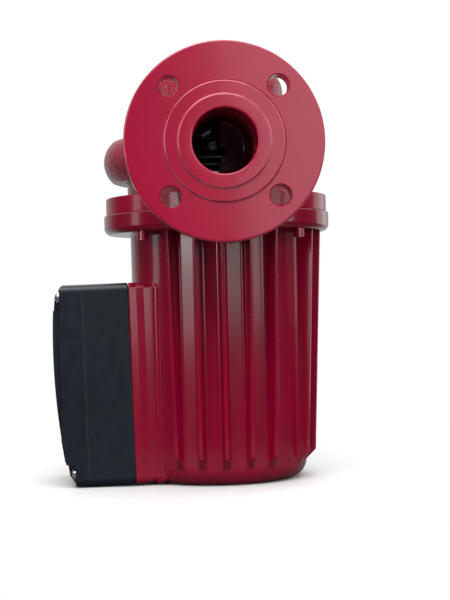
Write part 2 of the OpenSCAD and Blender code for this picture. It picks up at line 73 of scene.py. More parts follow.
# the motor casting
MOTOR_LOW, MOTOR_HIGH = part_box("motor_housing")
MOTOR_END_Z, MOTOR_FACE_Z = MOTOR_LOW.z, MOTOR_HIGH.z
LIP_R = MOTOR_HIGH.x - AXIS.x              # outside of its flange
LIP_ROUND, LIP_EDGE = 5 * MM, 0.5 * MM
LIP_FILLET, LIP_CLEAR = 2 * MM, 0.3 * MM   # under it, and from the fillet's end to the lip
FLANGE_UNDER = MOTOR_FACE_Z - 13.6 * MM
BARREL_R = (62.5 * MM, 61.4 * MM)          # under the flange and at the end
END_ROUND = 12 * MM
BORE_R = 57 * MM                           # room for the stator
RECESS_R, RECESS_DEPTH = 66 * MM, 1.2 * MM # recess for the rotor can's rim
VENT_R, VENT_CHAMFER, VENT_CHAMFER_DEPTH = 13 * MM, 1 * MM, 0.8 * MM
END_RING_R = 30 * MM                       # splits the flat end's long faces
END_WALL = 6 * MM
FIN_STEP = 15                              # degrees
FINS_ROUND = 360 // FIN_STEP
# steps round from the front; there is no fin at the screws or behind the box
FIN_NUMBERS = [-2, -1, 0, 1, 2, 4, 5, 6, 7, 8, 10, 11, 12, 13, 14]
FIN_TIP = ((-49.6, 75.7), (-210, 68.9), (-217.4, 61.6))     # height and radius, mm
FIN_HALF = ((58, 2.2), (76.5, 0.9))                         # radius and half thickness, mm
FIN_FILLET, FIN_EDGE = 2.4 * MM, 0.45 * MM
CASING_HOLE_R, CASING_HOLE_DEPTH = 2.8 * MM, 21.6 * MM      # holes for the casing screws

# its boss for the terminal box, measured out from the seat
BOSS_STEPS = ((0, 69.5, 44), (-0.4, 70, 44.5), (-0.9, 70, 44.6), (-4.9, 69.9, 43.6), (-5.3, 69.8, 43.4),
              (-10.4, 69.7, 43.4), (-10.9, 69.6, 43.3), (-13.4, 69.2, 42.6))  # height, half sides, mm
BOSS_CORNER, BOSS_FILLET, BOSS_ROOT = 4 * MM, 1.5 * MM, -30 * MM
BOSS_BARREL_R, BOSS_INNER_R = 62.2 * MM, 59.5 * MM          # the fillet's foot, and the boss's hollow
LEAD_HOLE = (-24, 0, 9, 20)                                 # up, along, radius and depth, mm
BOX_HOLES = [(u, v, 2, 9) for u in (-50, 50) for v in (-30, 30)]

# the pump casting's own flange, which clamps the motor
RIM_R, RIM_INNER = 79.6 * MM, 71 * MM
RIM_TOP = -27.7 * MM
RIM_HOLE_R = 2.55 * MM

# its pipe flanges, measured in from each sealing face
FLANGE_LOW, FLANGE_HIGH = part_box("pump_housing")
FLANGE_BACK = 19 * MM                      # from a sealing face to the back of its flange
FLANGE_R, SEAT_R, STEP_R, STEP_H = 65 * MM, 30.5 * MM, 39 * MM, 1.5 * MM
PIPE_R, NECK_R = 21 * MM, 29 * MM
NECK_JOINT = FLANGE_BACK + 6 * MM          # where the turned flange ends inside the cast neck
HOLE_CIRCLE, HOLE_R = 50 * MM, 7 * MM
HOLE_CHAMFER = 0.6 * MM

# its throat and its sand-cast skin
THROAT_R, THROAT_END = 20.8 * MM, 54 * MM  # where the round bore ends and the volute's throat begins
THROAT_ROUND = 5 * MM
CAST_VOXEL = 1.55 * MM
CAST_GRAIN = 0.22 * MM

# the terminal box's own directions: OUT from its seat, ALONG the pipe line, UP the motor
speed_select = next(j for j in frame["joints"] if j["name"] == "speed_select")
OUT = Vector(speed_select["axis"]).normalized()
ALONG = Vector((0, 1, 0))
UP = ALONG.cross(OUT)
KNOB = Vector(speed_select["pos_m"])
KNOB_UP, KNOB_OUT = 22 * MM, 50 * MM       # from the seat's middle
DIAL_R = 17.5 * MM
SEAT = KNOB - UP * KNOB_UP - OUT * KNOB_OUT


def seat(u, v, w):
    """The point u up, v along and w out from the middle of the box's seat."""
    return SEAT + UP * u + ALONG * v + OUT * w


# ---------------------------------------------------------------- node graph helpers
class Graph:
    """A Principled material and short calls that add nodes to it."""

    def __init__(self, name, **sockets):
        self.mat = bpy.data.materials.new(name)
        self.mat.use_nodes = True
        self.tree = self.mat.node_tree
        self.bsdf = self.tree.nodes["Principled BSDF"]
        for key, value in sockets.items():
            self.bsdf.inputs[key.replace("_", " ")].default_value = value
        self.coords = self.tree.nodes.new("ShaderNodeTexCoord").outputs["Object"]

    def link(self, source, target):
        self.tree.links.new(source, target)

    def add(self, kind, out, inputs=None, **settings):
        """Adds a shader node, whose inputs are sockets or plain values, and gives one of its outputs."""
        node = self.tree.nodes.new("ShaderNode" + kind)
        for key, value in settings.items():
            setattr(node, key, value)
        for key, value in (inputs or {}).items():
            if isinstance(value, bpy.types.NodeSocket):
                self.link(value, node.inputs[key])
            else:
                node.inputs[key].default_value = value
        return node.outputs[out]

    def noise(self, scale, detail=3.0, rough=0.55, vector=None, distortion=0.0):
        return self.add("TexNoise", 0, {"Vector": vector or self.coords, "Scale": scale, "Detail": detail,
                                        "Roughness": rough, "Distortion": distortion})

    def cells(self, scale):
        """The distance to the nearest of scattered points."""
        return self.add("TexVoronoi", "Distance", {"Vector": self.coords, "Scale": scale})

    def waves(self, scale, direction="X", kind="BANDS", distortion=0.0, vector=None):
        key = {"BANDS": "bands_direction", "RINGS": "rings_direction"}[kind]
        return self.add("TexWave", "Color", {"Vector": vector or self.coords, "Scale": scale,
                                             "Distortion": distortion}, wave_type=kind, **{key: direction})

    def math(self, operation, a, b=0.0):
        return self.add("Math", 0, {0: a, 1: b}, operation=operation)

    def span(self, value, low, high, to_low=0.0, to_high=1.0):
        """Maps low to high onto the second pair, and holds the ends beyond it."""
        return self.add("MapRange", 0, {0: value, 1: low, 2: high, 3: to_low, 4: to_high})

    def blend(self, factor, a, b):
        """Mixes two colours, each a socket or three numbers."""
        node = self.tree.nodes.new("ShaderNodeMix")
        node.data_type = "RGBA"
        for key, value in ((0, factor), (6, a), (7, b)):
            if isinstance(value, bpy.types.NodeSocket):
                self.link(value, node.inputs[key])
            else:
                node.inputs[key].default_value = value if key == 0 else (*value, 1)
        return node.outputs[2]

    def split(self, vector=None):
        """The x, y and z of a vector, by default of the place on the object."""
        return list(self.add("SeparateXYZ", 0, {"Vector": vector or self.coords}).node.outputs)

    def away(self, a, b):
        """How far the point (a, b) is from its origin."""
        return self.math("SQRT", self.math("ADD", self.math("MULTIPLY", a, a), self.math("MULTIPLY", b, b)))

    def both(self, a, b):
        """Where both masks hold."""
        return self.math("MULTIPLY", a, b)

    def either(self, a, b):
        """Where at least one mask holds."""
        return self.math("MAXIMUM", a, b)

    def stretched(self, x, y, z):
        return self.add("Mapping", 0, {"Vector": self.coords, "Scale": (x, y, z)})

    def about(self, centre):
        """The place on the object, measured from the centre."""
        return self.add("Mapping", 0, {"Vector": self.coords, "Location": tuple(-c for c in centre)})

    def height(self, value, distance, under=None):
        """Bumps of the given depth, on top of another bump node's normal."""
        inputs = {"Height": value, "Distance": distance, "Strength": 1.0}
        if under is not None:
            inputs["Normal"] = under
        return self.add("Bump", 0, inputs)

    def colour(self, socket):
        self.link(socket, self.bsdf.inputs["Base Color"])

    def rough(self, socket):
        self.link(socket, self.bsdf.inputs["Roughness"])

    def normal(self, socket):
        self.link(socket, self.bsdf.inputs["Normal"])


def shade(rgb, factor):
    """A colour made darker or lighter."""
    return tuple(c * factor for c in rgb)


# ---------------------------------------------------------------- materials
RED = (0.36, 0.001, 0.033)
EDGE_HIGHLIGHT_RED = (0.62, 0.13, 0.17)            # painted highlight along edges
SAND_GLINT_RED = (0.55, 0.24, 0.25)              # painted glints on the sand-cast skin
# bare iron inside the casing, near black: painted shade
BARE_IRON_AND_SHADE = (0.002, 0.002, 0.003)
PRINT = (0.62, 0.62, 0.6)
BLUE_BLACK = (0.003, 0.0075, 0.0145)       # the terminal box


def enamel(name, depth, coat=0.45, under=0.5, haze=0.09):
    """Gloss enamel over metal, slightly uneven in tone and flow: a lower depth is a darker paint, which on the
    motor and the screws is painted shade.

    coat and haze are the clear layer's strength and roughness, and under is the gloss below it.
    """
    g = Graph(name, Coat_Weight=coat, Coat_Roughness=haze, IOR=1.45, Specular_IOR_Level=under)
    broad = g.noise(14, 4, 0.6)
    fine = g.noise(260, 3, 0.6)
    tone = g.span(g.math("ADD", broad, g.math("MULTIPLY", fine, 0.35)), 0.45, 0.9)
    g.paint = g.blend(tone, shade(RED, 0.9 * depth), shade(RED, 1.08 * depth))
    g.colour(g.paint)
    g.rough(g.span(g.noise(90, 4, 0.65), 0.3, 0.75, 0.2, 0.3))
    g.flow = g.height(g.noise(110, 2, 0.45), 0.02 * MM)
    g.normal(g.flow)
    return g


def cast_enamel():
    """The pump casting: smooth on the machined flanges, sand-cast behind them, bare iron inside, darkened to near
    black deeper in as painted shade.
    """
    g = enamel("cast_red", 0.94)
    x, y, z = g.split()
    from_middle = g.math("ABSOLUTE", g.math("SUBTRACT", y, AXIS.y))
    from_face = g.math("SUBTRACT", AXIS.y, from_middle)
    from_pipe = g.away(x, z)

    # sand grain: behind the pipe flanges, and off the turned rim
    off_rim = g.either(g.span(z, RIM_TOP - 0.5 * MM, RIM_TOP + 1 * MM),
                       g.span(g.math("ABSOLUTE", x), 45 * MM, 49 * MM, 1, 0))
    sand = g.both(g.span(from_face, FLANGE_BACK - 0.6 * MM, FLANGE_BACK + 0.6 * MM), off_rim)
    lumps = g.noise(900, 4, 0.6, distortion=0.3)
    pits = g.span(g.cells(620), 0.0, 0.5)
    g.normal(g.height(g.both(g.both(lumps, pits), sand), 0.55 * MM, g.flow))
    # pale speckles on the sand-cast skin: painted glints
    glint_speckle = g.both(g.span(g.noise(820, 3, 0.7), 0.5, 0.62), sand)
    glinted_sand = g.blend(g.math("MULTIPLY", glint_speckle, 0.36), g.paint, SAND_GLINT_RED)

    # painted highlight: pale lines along the edges of the face's steps
    highlight_edges = 0.0
    for radius, width in ((FLANGE_R, 0.7 * MM), (STEP_R, 0.8 * MM), (SEAT_R, 1.2 * MM)):
        edge = g.both(g.span(from_pipe, radius - width, radius - 0.5 * width),
                      g.span(from_pipe, radius + 0.1 * MM, radius + 0.4 * MM, 1, 0))
        highlight_edges = g.either(edge, highlight_edges)
    at_face = g.span(from_face, 4 * MM, 6 * MM, 1, 0)
    highlight_lines = g.both(g.both(highlight_edges, at_face), g.span(g.noise(60, 3), 0.35, 0.6, 0.25, 0.8))
    painted = g.blend(highlight_lines, glinted_sand, EDGE_HIGHLIGHT_RED)

    # no paint in the bores or in the impeller's chamber: bare iron, darkened to near black from 24 mm to 62 mm in
    # as painted shade
    deep_shade = g.span(from_face, 24 * MM, 62 * MM)
    in_pipe = g.both(g.span(from_pipe, PIPE_R + 0.2 * MM, PIPE_R + 0.6 * MM, 1, 0), deep_shade)
    from_axis = g.away(x, from_middle)
    in_chamber = g.both(g.span(from_axis, 60 * MM, 61 * MM, 1, 0), g.span(z, 10 * MM, 12 * MM, 1, 0))
    inside = g.either(in_pipe, in_chamber)
    g.colour(g.blend(inside, painted, BARE_IRON_AND_SHADE))
    g.rough(g.span(inside, 0, 1, 0.22, 0.95))
    return g.mat


def dial_dots(g):
    """Three printed dots round the knob, larger for each faster speed."""
    y, z = g.split()[1:]
    dots = 0.0
    for degrees, radius in ((-60, 0.9 * MM), (0, 1.2 * MM), (60, 1.5 * MM)):
        turn = math.radians(degrees)
        across = g.math("SUBTRACT", y, KNOB.y + DIAL_R * math.sin(turn))
        rise = g.math("SUBTRACT", z, KNOB.z + DIAL_R * math.cos(turn))
        dot = g.span(g.away(across, rise), radius - 0.1 * MM, radius + 0.1 * MM, 0.9, 0)
        dots = g.either(dot, dots)
    return dots


def pointer_line(g):
    """A printed line on the upper half of the knob's grip."""
    y, z = g.split()[1:]
    across = g.math("ABSOLUTE", g.math("SUBTRACT", y, KNOB.y))
    beside = g.span(across, 0.5 * MM, 0.65 * MM, 0.9, 0)
    above = g.span(z, KNOB.z + 2 * MM, KNOB.z + 2.3 * MM)
    return g.both(beside, above)


def moulded(name, rgb, rough, printed=None):
    """Spark-textured plastic with faint handling marks, and pale print where printed(graph) says."""
    g = Graph(name, IOR=1.48)
    marks = g.noise(38, 5, 0.7, g.stretched(1, 1, 0.35))
    plain = g.blend(g.span(marks, 0.35, 0.7), shade(rgb, 0.86), shade(rgb, 1.16))
    g.colour(g.blend(printed(g), plain, PRINT) if printed else plain)
    g.rough(g.span(g.noise(150, 4, 0.7), 0.3, 0.7, rough - 0.05, rough + 0.07))
    g.normal(g.height(g.noise(2600, 2, 0.7), 0.012 * MM))
    return g.mat


def turned(name, rgb, rough, scale=1400, kind="RINGS", direction="Z"):
    """Machined metal with fine tool marks: rings round the motor's axis, or straight bands."""
    g = Graph(name, Metallic=1.0)
    marks = g.waves(scale, direction, kind, 1.5, g.about(AXIS if kind == "RINGS" else (0, 0, 0)))
    cloud = g.noise(120, 4, 0.6)
    g.colour(g.blend(g.span(cloud, 0.3, 0.7), shade(rgb, 0.85), shade(rgb, 1.08)))
    g.rough(g.span(g.math("ADD", marks, cloud), 0.4, 1.6, rough - 0.05, rough + 0.1))
    g.normal(g.height(marks, 0.004 * MM))
    return g.mat


def elastomer(name, rgb):
    """Black rubber with a grey bloom."""
    g = Graph(name)
    bloom = g.noise(300, 5, 0.7)
    g.colour(g.blend(g.span(bloom, 0.35, 0.75), rgb, shade(rgb, 2.2)))
    g.rough(g.span(bloom, 0.2, 0.8, 0.6, 0.85))
    g.normal(g.height(g.noise(1800, 3, 0.7), 0.02 * MM))
    return g.mat


def painted_gasket():
    """Dark fibre sheet whose outer edge was sprayed over with the casing."""
    g = Graph("fibre_gasket")
    x, y = g.split(g.about(AXIS))[:2]
    sprayed = g.span(g.away(x, y), LIP_R - 4 * MM, LIP_R - 3 * MM)
    fibre = g.blend(g.span(g.noise(900, 4), 0.3, 0.7), (0.02, 0.018, 0.017), (0.06, 0.05, 0.045))
    g.colour(g.blend(sprayed, fibre, shade(RED, 0.5)))
    g.rough(g.span(sprayed, 0, 1, 0.85, 0.35))
    g.normal(g.height(g.noise(1800, 3), 0.02 * MM))
    return g.mat


def wound_copper(name):
    """Enamelled wire, bundled round the axis."""
    g = Graph(name, Metallic=0.6, Coat_Weight=0.6)
    wires = g.waves(900, "Z", "RINGS", 3.0, g.about(AXIS))
    g.colour(g.blend(wires, (0.30, 0.10, 0.035), (0.62, 0.28, 0.12)))
    g.rough(g.span(wires, 0, 1, 0.45, 0.28))
    g.normal(g.height(wires, 0.25 * MM))
    return g.mat


def stacked_sheet(name):
    """Punched laminations seen edge on."""
    g = Graph(name, Metallic=0.8)
    lines = g.waves(630, "Z", "BANDS", 0.4)
    g.colour(g.blend(lines, (0.10, 0.10, 0.11), (0.32, 0.31, 0.30)))
    g.rough(g.span(lines, 0, 1, 0.6, 0.4))
    g.normal(g.height(lines, 0.05 * MM))
    return g.mat


def braided(name, rgb):
    """Woven sleeving: two crossing sets of diagonal bands."""
    g = Graph(name)
    a = g.waves(700, "DIAGONAL", "BANDS", 0.5)
    b = g.waves(700, "DIAGONAL", "BANDS", 0.5, g.stretched(-1, 1, 1))
    weave = g.both(a, b)
    g.colour(g.blend(weave, shade(rgb, 0.55), rgb))
    g.rough(g.span(weave, 0, 1, 0.85, 0.6))
    g.normal(g.height(weave, 0.1 * MM))
    return g.mat


cast_red = cast_enamel()
# the motor takes a darker copy of the casing's enamel: painted shade
shaded_motor_red = enamel("shaded_motor_red", 0.76, coat=1.0, under=0.16, haze=0.13).mat
LOOKS = {
    "red_casting": cast_red,
    "red_motor": shaded_motor_red,
    # the screws also take the darker copy of the enamel: painted shade
    "red_screws": enamel("shaded_screw_red", 0.76, coat=1.0, under=0.16).mat,
    "stainless": turned("stainless_steel", (0.55, 0.55, 0.56), 0.3),
    "brass": turned("turned_brass", (0.70, 0.50, 0.22), 0.28),
    "rubber": elastomer("seal_rubber", (0.012, 0.012, 0.012)),
    "gasket": painted_gasket(),
    "carbon": turned("lapped_carbon", (0.045, 0.045, 0.05), 0.35),
    "laminations": stacked_sheet("laminations"),
    "copper": wound_copper("copper_wire"),
    "lead_sleeve": braided("lead_sleeve", (0.6, 0.56, 0.45)),
    "box_plastic": moulded("box_plastic", BLUE_BLACK, 0.36),
    "cover_plastic": moulded("cover_plastic", BLUE_BLACK, 0.34, printed=dial_dots),
    "zinc_screws": turned("zinc_plate", (0.62, 0.62, 0.58), 0.32, 900, kind="BANDS", direction="X"),
    "bright_screws": turned("bright_plate", (0.82, 0.82, 0.83), 0.16, 2200, kind="BANDS", direction="Y"),
    "block_plastic": moulded("block_plastic", (0.55, 0.55, 0.52), 0.45),
    "capacitor_can": moulded("capacitor_plastic", (0.62, 0.62, 0.60), 0.3),
    "switch_plastic": moulded("switch_plastic", (0.06, 0.06, 0.065), 0.42),
    "knob_plastic": moulded("knob_plastic", (0.10, 0.105, 0.11), 0.38, printed=pointer_line),
    "gland_plastic": moulded("gland_plastic", (0.02, 0.022, 0.025), 0.5),
}


# ---------------------------------------------------------------- mesh helpers
def new_object(name, data):
    """A mesh, light or camera, put into the scene."""
    ob = bpy.data.objects.new(name, data)
    scene.collection.objects.link(ob)
    return ob


def mesh_object(name, points, faces):
    """A mesh from points and the corners of its faces."""
    mesh = bpy.data.meshes.new(name)
    mesh.from_pydata([tuple(p) for p in points], [], faces)
    mesh.update()
    return new_object(name, mesh)


def welded_copy(node, name):
    """A closed copy of a CAD node's mesh, with its split corners joined."""
    bm = bmesh.new()
    bm.from_mesh(frame["nodes"][node].data)
    bmesh.ops.remove_doubles(bm, verts=bm.verts, dist=1e-6)
    mesh = bpy.data.meshes.new(name)
    bm.to_mesh(mesh)
    bm.free()
    return new_object(name, mesh)


def baked(ob):
    """Replaces the object's mesh by what its modifiers make of it."""
    graph = bpy.context.evaluated_depsgraph_get()
    mesh = bpy.data.meshes.new_from_object(ob.evaluated_get(graph), depsgraph=graph)
    ob.modifiers.clear()
    old, ob.data = ob.data, mesh
    bpy.data.meshes.remove(old)
    mesh.name = ob.name
    return ob


def modified(ob, kind, **settings):
    """Applies one modifier."""
    m = ob.modifiers.new(kind.lower(), kind)
    for key, value in settings.items():
        setattr(m, key, value)
    return baked(ob)


def relaxed(ob, passes):
    """Rounds the mesh's corners by Taubin smoothing: a push in, then a slightly longer pull out."""
    mesh = ob.data
    n = len(mesh.vertices)
    edges = np.empty(len(mesh.edges) * 2, np.int64)
    mesh.edges.foreach_get("vertices", edges)
    a, b = edges.reshape(-1, 2).T
    count = np.maximum(np.bincount(a, minlength=n) + np.bincount(b, minlength=n), 1)
    co = np.empty(n * 3)
    mesh.vertices.foreach_get("co", co)
    co = co.reshape(-1, 3)
    for rate in (0.5, -0.52) * passes:
        mean = np.stack([np.bincount(a, co[b, k], n) + np.bincount(b, co[a, k], n) for k in range(3)], 1)
        co += (mean / count[:, None] - co) * rate
    mesh.vertices.foreach_set("co", co.astype(np.float32).ravel())
    mesh.update()
    return ob


def boolean(ob, other, operation):
    """Joins, cuts or keeps what both hold; the other object is used up."""
    modified(ob, "BOOLEAN", operation=operation, object=other, solver="MANIFOLD")
    bpy.data.objects.remove(other)
    return ob


def without_crumbs(ob):
    """Keeps the largest connected shell, and drops the slivers that cutting left."""
    bm = bmesh.new()
    bm.from_mesh(ob.data)
    left = dict.fromkeys(bm.verts)
    shells = []
    while left:
        shell = [left.popitem()[0]]
        for vert in shell:
            for edge in vert.link_edges:
                other = edge.other_vert(vert)
                if other in left:
                    del left[other]
                    shell.append(other)
        shells.append(shell)
    shells.sort(key=len)
    bmesh.ops.delete(bm, geom=[vert for shell in shells[:-1] for vert in shell], context="VERTS")
    bm.to_mesh(ob.data)
    bm.free()
    return ob


def block(name, low, high):
    """A box between two opposite corners."""
    corners = [[(low, high)[(k >> i) & 1][i] for i in range(3)] for k in range(8)]
    faces = [(0, 2, 3, 1), (4, 5, 7, 6), (0, 1, 5, 4), (2, 6, 7, 3), (0, 4, 6, 2), (1, 3, 7, 5)]
    return mesh_object(name, corners, faces)


def loft(name, rings, closed=False):
    """A skin over rings of equal length: capped at both ends, or joined last to first when closed."""
    n = len(rings[0])
    points = np.concatenate(rings)
    pairs = [(k, k + 1) for k in range(len(rings) - 1)]
    if closed:
        pairs.append((len(rings) - 1, 0))
    faces = []
    for a, b in pairs:
        for i in range(n):
            j = (i + 1) % n
            faces.append((a * n + i, a * n + j, b * n + j, b * n + i))
    if not closed:
        faces += [tuple(range(n))[::-1], tuple(len(points) - n + i for i in range(n))]
    ob = mesh_object(name, points, faces)
    bm = bmesh.new()
    bm.from_mesh(ob.data)
    bmesh.ops.recalc_face_normals(bm, faces=bm.faces)
    bm.to_mesh(ob.data)
    bm.free()
    return ob


def turned_solid(name, profile, place, n=64, hollow=False):
    """A solid of revolution: profile lists (radius, height) pairs, and place(r, t, angle) sets a point."""
    turns = [2 * math.pi * k / n for k in range(n)]
    return loft(name, [np.array([place(r, t, a) for a in turns]) for r, t in profile], closed=hollow)


def upright(centre):
    """Places a turned solid about an upright axis."""
    def place(r, z, a):
        return centre[0] + r * math.cos(a), centre[1] + r * math.sin(a), z
    return place


def along_pipe(x, z, face, side=1):
    """Places a turned solid about a line along the pipe, with heights measured in from a sealing face."""
    def place(r, depth, a):
        return x + r * math.cos(a), face + side * depth, z + r * math.sin(a)
    return place


def out_of_seat(u, v):
    """Places a turned solid about a line out of the box's seat."""
    def place(r, w, a):
        return seat(u + r * math.cos(a), v + r * math.sin(a), w)
    return place


def cylinder_about(name, centre, radius, low, high, n=64):
    """An upright cylinder."""
    return turned_solid(name, [(radius, low), (radius, high)], upright(centre), n)


def four_round(radius):
    """Four places round a centre, at 45 degrees to the two directions."""
    turns = [math.radians(45 + 90 * k) for k in range(4)]
    return [(radius * math.cos(a), radius * math.sin(a)) for a in turns]


def softened(corners, steps=5):
    """Rounds a closed outline: each corner is (radius from the axis, height, rounding in millimetres)."""
    points = []
    for k, (x, y, rounding) in enumerate(corners):
        corner = np.array((x, y))
        before = np.array(corners[k - 1][:2]) - corner
        after = np.array(corners[(k + 1) % len(corners)][:2]) - corner
        if not rounding:
            points.append(tuple(corner))
            continue
        before, after = before / np.linalg.norm(before), after / np.linalg.norm(after)
        half = math.acos(np.clip(before @ after, -1, 1)) / 2
        radius = rounding * MM
        reach = radius / math.tan(half)
        centre = corner + (before + after) / np.linalg.norm(before + after) * radius / math.sin(half)
        start, end = corner + before * reach - centre, corner + after * reach - centre
        sweep = math.pi - 2 * half
        for f in np.linspace(0, 1, steps):
            mix = (start * math.sin((1 - f) * sweep) + end * math.sin(f * sweep)) / math.sin(sweep)
            points.append(tuple(centre + mix))
    return points


def finish_piece(ob, material, body, slot, *nodes, crease=38):
    """Shading, material and the calls that tie the piece to the frame."""
    mesh = ob.data
    mesh.materials.clear()
    mesh.materials.append(material)
    mesh.polygons.foreach_set("use_smooth", [True] * len(mesh.polygons))
    mesh.set_sharp_from_angle(angle=math.radians(crease))
    weighted = ob.modifiers.new("even_shading", "WEIGHTED_NORMAL")
    weighted.keep_sharp = True
    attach(ob, body)
    if nodes:
        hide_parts(*nodes)
    return ob


# ---------------------------------------------------------------- the motor casting
def fin_half(r):
    """Half a fin's thickness at a radius."""
    radii, halves = zip(*FIN_HALF)
    return np.interp(r / MM, radii, halves) * MM


def fin_tip(z):
    """The radius that the fins reach at a height."""
    heights, radii = zip(*FIN_TIP[::-1])
    return np.interp(z / MM, heights, radii) * MM


def fin_profile(base, tip):
    """Half a fin's outline from its tip's middle to its root, as (half thickness, radius) pairs."""
    arc = np.linspace(0, math.pi / 2, 5)
    edge = fin_half(tip)
    profile = [(0.0, max(tip, base))]
    profile += [(edge - FIN_EDGE * (1 - math.sin(t)), tip - FIN_EDGE * (1 - math.cos(t))) for t in arc]
    side = np.linspace(tip - FIN_EDGE, base + FIN_FILLET, 6)[1:-1]
    profile += [(fin_half(r), r) for r in side]
    root = fin_half(base)
    profile += [(root + FIN_FILLET * (1 - math.cos(t)), base + FIN_FILLET * (1 - math.sin(t))) for t in arc]
    least = 0.02 * MM                      # keeps the points in order where the fin is low
    for k in range(1, len(profile)):
        sideways = max(profile[k][0], profile[k - 1][0] + least)
        profile[k] = sideways, min(max(profile[k][1], base), max(tip, base))
    return profile


def motor_section(z):
    """The finned barrel's outline at one height, as (angle, radius) pairs: as many at every height."""
    base = np.interp(z, [MOTOR_END_Z + END_ROUND, FLANGE_UNDER], BARREL_R[::-1])
    half = [(math.asin(s / r), r) for s, r in fin_profile(base, fin_tip(z))]
    one_fin = [(-a, r) for a, r in half[:0:-1]] + half
    edge = half[-1][0]
    section = []
    for k, number in enumerate(FIN_NUMBERS):
        middle = math.radians(number * FIN_STEP - 90)
        section += [(middle + a, r) for a, r in one_fin]
        follower = FIN_NUMBERS[(k + 1) % len(FIN_NUMBERS)]
        gap_steps = (follower - number) % FINS_ROUND
        start, end = middle + edge, middle + math.radians(gap_steps * FIN_STEP) - edge
        section += [(a, base) for a in np.linspace(start, end, 4 * gap_steps)[1:-1]]
    return np.array(section)


def ring_of(angles, radii, z):
    """Points round the motor's axis."""
    return np.stack([AXIS.x + radii * np.cos(angles), AXIS.y + radii * np.sin(angles),
                     np.broadcast_to(z, angles.shape)], 1)


def motor_body():
    """End, barrel with fins, flange lip, recess and bore, as one closed skin."""
    foot, low = FIN_TIP[2][0] * MM, FIN_TIP[1][0] * MM
    heights = [*np.linspace(foot - 0.2 * MM, low, 9), *np.linspace(low, FLANGE_UNDER - LIP_FILLET, 22)[1:]]
    rings = []

    def plain(angles, r, z):
        rings.append(ring_of(angles, np.full(len(angles), r), z))

    # the end, rounded up to the barrel
    angles = motor_section(heights[0])[:, 0]
    flat = BARREL_R[1] - END_ROUND
    plain(angles, VENT_R, MOTOR_END_Z + VENT_CHAMFER_DEPTH)
    for r in (VENT_R + VENT_CHAMFER, END_RING_R, flat):
        plain(angles, r, MOTOR_END_Z)
    for t in np.linspace(0, math.pi / 2, 12)[1:-1]:
        plain(angles, flat + END_ROUND * math.sin(t), MOTOR_END_Z + END_ROUND * (1 - math.cos(t)))

    # the barrel and its fins
    for z in heights:
        section = motor_section(z)
        rings.append(ring_of(section[:, 0], section[:, 1], z))

    # the flange: a fillet under it, a round lip and a broken edge
    angles, radii = motor_section(heights[-1]).T
    under = LIP_R - LIP_ROUND
    fillet = np.clip(under - LIP_CLEAR - radii, 0, LIP_FILLET)
    for t in np.linspace(0, math.pi / 2, 6)[1:]:
        out, down = fillet * (1 - math.cos(t)), fillet * (1 - math.sin(t))
        rings.append(ring_of(angles, radii + out, FLANGE_UNDER - down))
    for t in np.linspace(0, math.pi / 2, 9):
        plain(angles, under + LIP_ROUND * math.sin(t), FLANGE_UNDER + LIP_ROUND * (1 - math.cos(t)))
    plain(angles, LIP_R, MOTOR_FACE_Z - LIP_EDGE)
    plain(angles, LIP_R - LIP_EDGE, MOTOR_FACE_Z)

    # the recess, the bore and the end wall
    recess_z, wall_z = MOTOR_FACE_Z - RECESS_DEPTH, MOTOR_END_Z + END_WALL
    for r, z in ((RECESS_R, MOTOR_FACE_Z), (RECESS_R, recess_z), (BORE_R, recess_z), (BORE_R, wall_z),
                 (VENT_R, wall_z)):
        plain(angles, r, z)
    return loft("motor_casting", rings, closed=True)


def slab_outline(half_u, half_v, r):
    """A rectangle with round corners, in the seat's directions."""
    arcs = []
    for k, (su, sv) in enumerate(((1, 1), (-1, 1), (-1, -1), (1, -1))):
        middle = np.array((su * (half_u - r), sv * (half_v - r)))
        turns = np.linspace(0, math.pi / 2, 6) + k * math.pi / 2
        arcs.append([middle + (r * math.cos(t), r * math.sin(t)) for t in turns])
    points = []
    for arc, following in zip(arcs, arcs[1:] + arcs[:1]):
        points += arc
        points += [arc[-1] + (following[0] - arc[-1]) * f for f in np.linspace(0, 1, 10)[1:-1]]
    return np.array(points)


def box_boss():
    """The raised seat for the terminal box: a tapered lip, a plain band and a fillet onto the barrel."""
    rings = []
    for w, half_u, half_v in BOSS_STEPS:
        rings.append([seat(u, v, w * MM) for u, v in slab_outline(half_u * MM, half_v * MM, BOSS_CORNER)])
    half_u, half_v = BOSS_STEPS[-1][1] * MM, BOSS_STEPS[-1][2] * MM
    below_steps, under_skin = -14 * MM, -3 * MM
    for rise in (*np.linspace(BOSS_FILLET, 0, 5), under_skin):
        out = BOSS_FILLET - math.sqrt(BOSS_FILLET ** 2 - (BOSS_FILLET - max(rise, 0)) ** 2)
        ring = []
        for u, v in slab_outline(half_u + out, half_v + out, BOSS_CORNER + out):
            on_barrel = -math.sqrt(BOSS_BARREL_R ** 2 - v ** 2)
            w = (SEAT.x - AXIS.x + UP.x * u - on_barrel) / -OUT.x
            ring.append(seat(u, v, min(below_steps, w + rise)))
        rings.append(ring)
    root = slab_outline(half_u + BOSS_FILLET, half_v + BOSS_FILLET, BOSS_CORNER + BOSS_FILLET)
    rings.append([seat(u, v, BOSS_ROOT) for u, v in root])
    boss = loft("boss", [np.array(r) for r in rings])
    return boolean(boss, cylinder_about("core", AXIS, BOSS_INNER_R, MOTOR_END_Z - MM, 0), "DIFFERENCE")


def motor_casting():
    """The motor's barrel and boss, drilled for the casing screws, the leads and the box's screws."""
    ob = boolean(motor_body(), box_boss(), "UNION")
    low, high = MOTOR_FACE_Z - CASING_HOLE_DEPTH, MOTOR_FACE_Z + MM
    for x, y in four_round(SCREW_CIRCLE):
        hole = cylinder_about("hole", (AXIS.x + x, AXIS.y + y), CASING_HOLE_R, low, high, 32)
        boolean(ob, hole, "DIFFERENCE")
    for u, v, r, depth in (LEAD_HOLE, *BOX_HOLES):
        hole = turned_solid("hole", [(r * MM, MM), (r * MM, -depth * MM)], out_of_seat(u * MM, v * MM), 32)
        boolean(ob, hole, "DIFFERENCE")
    return finish_piece(ob, shaded_motor_red, "casing", "red_motor", "motor_housing")


